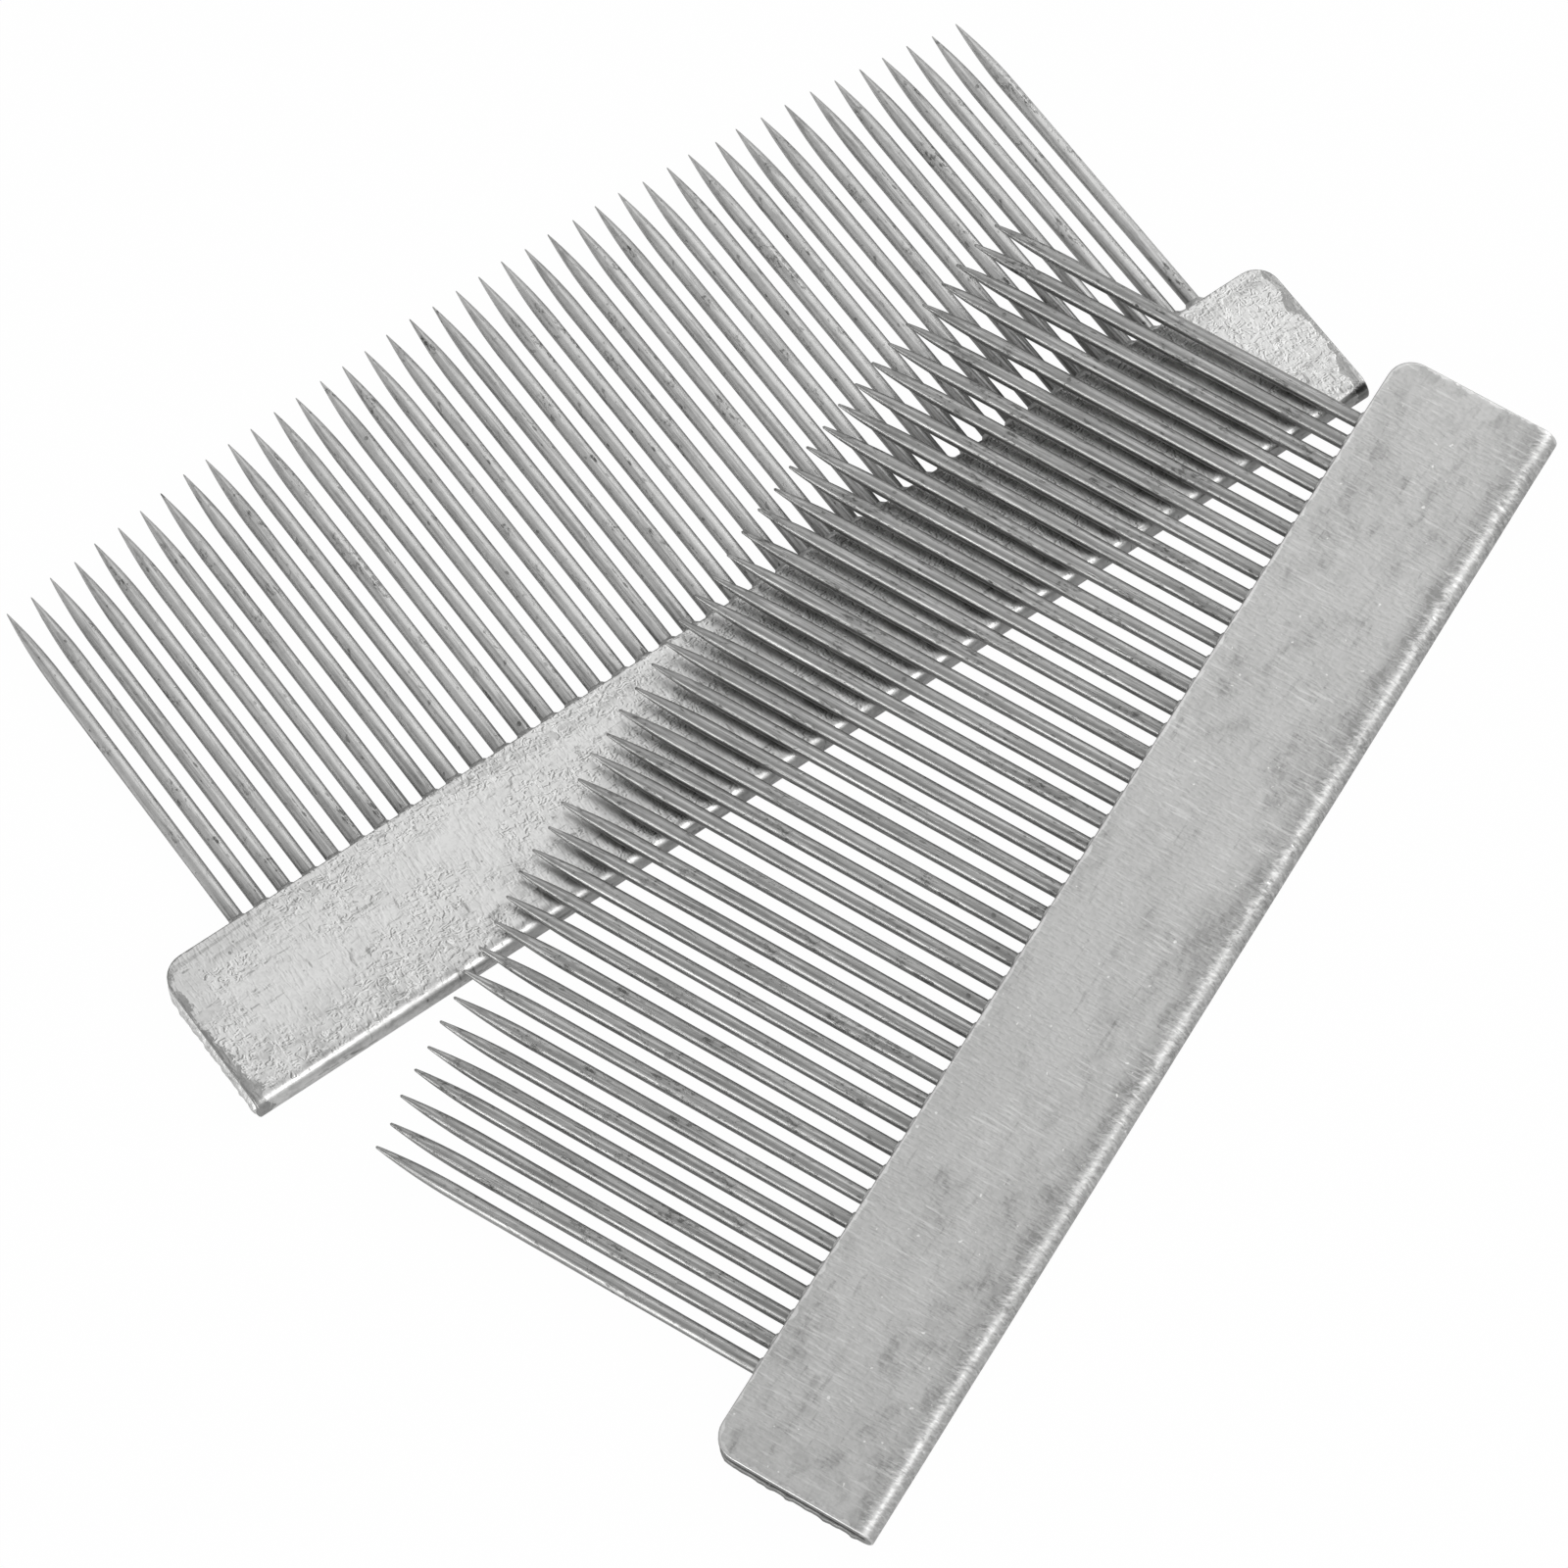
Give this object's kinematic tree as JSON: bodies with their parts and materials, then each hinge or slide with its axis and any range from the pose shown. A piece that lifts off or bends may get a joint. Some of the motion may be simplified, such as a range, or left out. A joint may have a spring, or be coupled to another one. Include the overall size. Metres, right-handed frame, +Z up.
{
  "type": "wool combs",
  "caption": "Hand combs for opening and straightening wool: each has a folded steel spine holding a row of round pointed needles, and one lies loose across the other.",
  "frame": {"origin": "middle of the flat underside of the lower comb's spine, on the table", "axes": "+Z up from the table, +X along the lower comb's spine, +Y the way the lower comb's needles point"},
  "size_m": [0.1787, 0.1642, 0.0076],
  "materials": {
    "tinned_sheet": "tin film with flow marks over satin steel",
    "bare_sheet": "satin, fine scratches across the spine",
    "lower_needle_wire": "matt drawn wire",
    "upper_needle_wire": "drawn wire with a narrow shine",
    "solder": "dull solder"
  },
  "bodies": {
    "lower_comb": {"lower_spine": "tinned_sheet", "lower_solder": "solder", "lower_needles_01_02": "lower_needle_wire", "lower_needles_03_04": "lower_needle_wire", "lower_needles_05_06": "lower_needle_wire", "lower_needles_07_08": "lower_needle_wire", "lower_needles_09_10": "lower_needle_wire", "lower_needles_11_12": "lower_needle_wire", "lower_needles_13_14": "lower_needle_wire", "lower_needles_15_16": "lower_needle_wire", "lower_needles_17_18": "lower_needle_wire", "lower_needles_19_20": "lower_needle_wire", "lower_needles_21_22": "lower_needle_wire", "lower_needles_23_24": "lower_needle_wire", "lower_needles_25_26": "lower_needle_wire", "lower_needles_27_28": "lower_needle_wire", "lower_needles_29_30": "lower_needle_wire", "lower_needles_31_32": "lower_needle_wire", "lower_needles_33_34": "lower_needle_wire", "lower_needles_35_36": "lower_needle_wire", "lower_needles_37_38": "lower_needle_wire", "lower_needles_39_40": "lower_needle_wire", "lower_needles_41_42": "lower_needle_wire"},
    "upper_comb": {"upper_spine": "bare_sheet", "upper_solder": "solder", "upper_needles_01_02": "upper_needle_wire", "upper_needles_03_04": "upper_needle_wire", "upper_needles_05_06": "upper_needle_wire", "upper_needles_07_08": "upper_needle_wire", "upper_needles_09_10": "upper_needle_wire", "upper_needles_11_12": "upper_needle_wire", "upper_needles_13_14": "upper_needle_wire", "upper_needles_15_16": "upper_needle_wire", "upper_needles_17_18": "upper_needle_wire", "upper_needles_19_20": "upper_needle_wire", "upper_needles_21_22": "upper_needle_wire", "upper_needles_23_24": "upper_needle_wire", "upper_needles_25_26": "upper_needle_wire", "upper_needles_27_28": "upper_needle_wire", "upper_needles_29_30": "upper_needle_wire", "upper_needles_31_32": "upper_needle_wire", "upper_needles_33_34": "upper_needle_wire", "upper_needles_35_36": "upper_needle_wire", "upper_needles_37_38": "upper_needle_wire", "upper_needles_39_40": "upper_needle_wire", "upper_needles_41_42": "upper_needle_wire"}
  },
  "joints": [
    {"name": "upper_comb_lift", "type": "slide", "parent": "lower_comb", "child": "upper_comb", "axis": [0, 0, 1], "range_m": [0, 0.15]}
  ]
}
